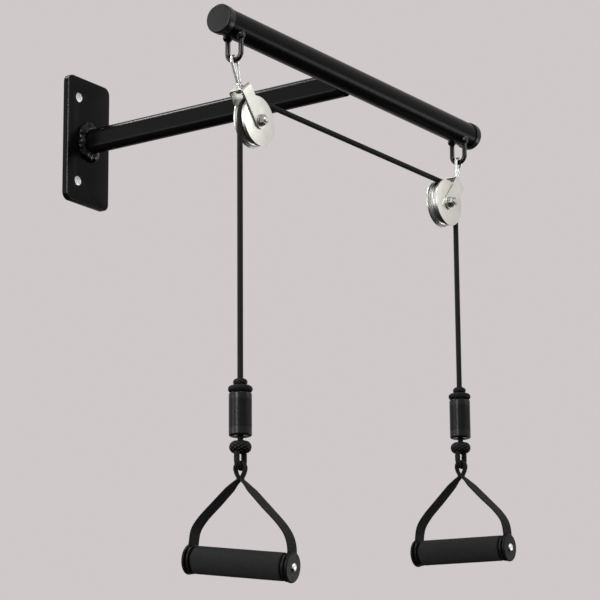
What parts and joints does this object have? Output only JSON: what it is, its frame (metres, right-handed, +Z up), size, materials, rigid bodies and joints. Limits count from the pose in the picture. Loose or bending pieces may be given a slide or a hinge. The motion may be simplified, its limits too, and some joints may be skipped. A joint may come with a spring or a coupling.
{
  "type": "wall pulley unit",
  "caption": "Wall-mounted T bracket with swivel pulley blocks, one braided rope over both sheaves, and a stopper and stirrup handle on each rope end.",
  "frame": {"origin": "middle of the wall plate's back face", "axes": "+X out from the wall, +Y along the crossbar to the right of a person facing the wall, +Z up"},
  "size_m": [0.5801, 0.65, 0.8615],
  "materials": {
    "powder_coat": "semi-gloss black powder coat",
    "cap_plastic": "satin black moulded cap",
    "bright_steel": "bright zinc and polished steel",
    "zinc_plate": "satin zinc-plated sheet",
    "bronze": "sintered bronze bush",
    "rope": "black braided polyester",
    "stopper_plastic": "satin black moulded plastic with fine ribs",
    "webbing": "black woven webbing",
    "foam": "matte black closed-cell foam",
    "hub_plastic": "satin black moulded plastic"
  },
  "bodies": {
    "bracket": {"wall_plate": "powder_coat", "support_arm": "powder_coat", "wall_weld": "powder_coat", "crossbar": "powder_coat", "rope_span": "rope", "left_bar_weld": "powder_coat", "left_end_cap": "cap_plastic", "left_staple": "powder_coat", "right_bar_weld": "powder_coat", "right_end_cap": "cap_plastic", "right_staple": "powder_coat"},
    "left_block": {"left_block_strap": "zinc_plate", "left_front_cheek": "zinc_plate", "left_rear_cheek": "zinc_plate", "left_axle_bolt": "bright_steel", "left_axle_washer": "zinc_plate", "left_axle_nut": "zinc_plate", "left_rope_wrap": "rope", "left_rope_drop": "rope"},
    "left_eye_body": {"left_eye": "bright_steel"},
    "left_sheave_body": {"left_sheave": "bright_steel", "left_bush": "bronze"},
    "left_rope_end": {"left_upper_knot": "rope", "left_stopper": "stopper_plastic"},
    "left_loop": {"left_lower_knot": "rope", "left_rope_loop": "rope"},
    "left_handle": {"left_webbing": "webbing", "left_front_hub": "hub_plastic", "left_rear_hub": "hub_plastic", "left_front_disc": "hub_plastic", "left_rear_disc": "hub_plastic", "left_through_bolt": "bright_steel", "left_dome_nut": "bright_steel"},
    "left_grip": {"left_foam_grip": "foam", "left_core_tube": "bright_steel"},
    "right_block": {"right_block_strap": "zinc_plate", "right_front_cheek": "zinc_plate", "right_rear_cheek": "zinc_plate", "right_axle_bolt": "bright_steel", "right_axle_washer": "zinc_plate", "right_axle_nut": "zinc_plate", "right_rope_wrap": "rope", "right_rope_drop": "rope"},
    "right_eye_body": {"right_eye": "bright_steel"},
    "right_sheave_body": {"right_sheave": "bright_steel", "right_bush": "bronze"},
    "right_rope_end": {"right_upper_knot": "rope", "right_stopper": "stopper_plastic"},
    "right_loop": {"right_lower_knot": "rope", "right_rope_loop": "rope"},
    "right_handle": {"right_webbing": "webbing", "right_front_hub": "hub_plastic", "right_rear_hub": "hub_plastic", "right_front_disc": "hub_plastic", "right_rear_disc": "hub_plastic", "right_through_bolt": "bright_steel", "right_dome_nut": "bright_steel"},
    "right_grip": {"right_foam_grip": "foam", "right_core_tube": "bright_steel"}
  },
  "joints": [
    {"name": "left_swing", "type": "hinge", "parent": "bracket", "child": "left_block", "pos_m": [0.5, -0.288, -0.039], "axis": [0, 1, 0], "range_deg": [-30, 30], "deforming": ["rope_span"]},
    {"name": "left_swivel", "type": "hinge", "parent": "left_block", "child": "left_eye_body", "pos_m": [0.5, -0.288, -0.05], "axis": [0, 0.309, -0.9511], "range_deg": [-20, 20]},
    {"name": "left_sheave_turn", "type": "hinge", "parent": "left_block", "child": "left_sheave_body", "pos_m": [0.5, -0.24314, -0.12502], "axis": [1, 0, 0], "range_deg": [-570, 570]},
    {"name": "left_travel", "type": "slide", "parent": "left_block", "child": "left_rope_end", "axis": [0, 0, 1], "range_m": [-0.23, 0.32], "deforming": ["left_rope_drop"]},
    {"name": "left_twist", "type": "hinge", "parent": "left_rope_end", "child": "left_loop", "pos_m": [0.5, -0.27564, -0.6058], "axis": [0, 0, 1], "range_deg": [-90, 90]},
    {"name": "left_tilt", "type": "hinge", "parent": "left_loop", "child": "left_handle", "pos_m": [0.5, -0.27564, -0.6058], "axis": [-0.1392, 0.9903, 0], "range_deg": [-30, 30]},
    {"name": "left_grip_spin", "type": "hinge", "parent": "left_handle", "child": "left_grip", "pos_m": [0.5, -0.27564, -0.7308], "axis": [0.9799, 0.1377, -0.1444], "continuous": true},
    {"name": "right_swing", "type": "hinge", "parent": "bracket", "child": "right_block", "pos_m": [0.5, 0.288, -0.039], "axis": [0, 1, 0], "range_deg": [-30, 30], "deforming": ["rope_span"]},
    {"name": "right_swivel", "type": "hinge", "parent": "right_block", "child": "right_eye_body", "pos_m": [0.5, 0.288, -0.05], "axis": [0, -0.309, -0.9511], "range_deg": [-20, 20]},
    {"name": "right_sheave_turn", "type": "hinge", "parent": "right_block", "child": "right_sheave_body", "pos_m": [0.5, 0.24314, -0.12502], "axis": [1, 0, 0], "range_deg": [-570, 570]},
    {"name": "right_travel", "type": "slide", "parent": "right_block", "child": "right_rope_end", "axis": [0, 0, 1], "range_m": [-0.32, 0.23], "deforming": ["right_rope_drop"]},
    {"name": "right_twist", "type": "hinge", "parent": "right_rope_end", "child": "right_loop", "pos_m": [0.5, 0.27564, -0.5208], "axis": [0, 0, 1], "range_deg": [-90, 90]},
    {"name": "right_tilt", "type": "hinge", "parent": "right_loop", "child": "right_handle", "pos_m": [0.5, 0.27564, -0.5208], "axis": [-0.0593, 0.9982, 0], "range_deg": [-30, 30]},
    {"name": "right_grip_spin", "type": "hinge", "parent": "right_handle", "child": "right_grip", "pos_m": [0.5, 0.27564, -0.6458], "axis": [0.9978, 0.0593, -0.0297], "continuous": true}
  ],
  "couplings": [
    {"joint": "right_travel", "follows": "left_travel", "ratio": -1},
    {"joint": "left_sheave_turn", "follows": "left_travel", "rad_per_m": -30.769},
    {"joint": "right_sheave_turn", "follows": "left_travel", "rad_per_m": -30.769}
  ]
}
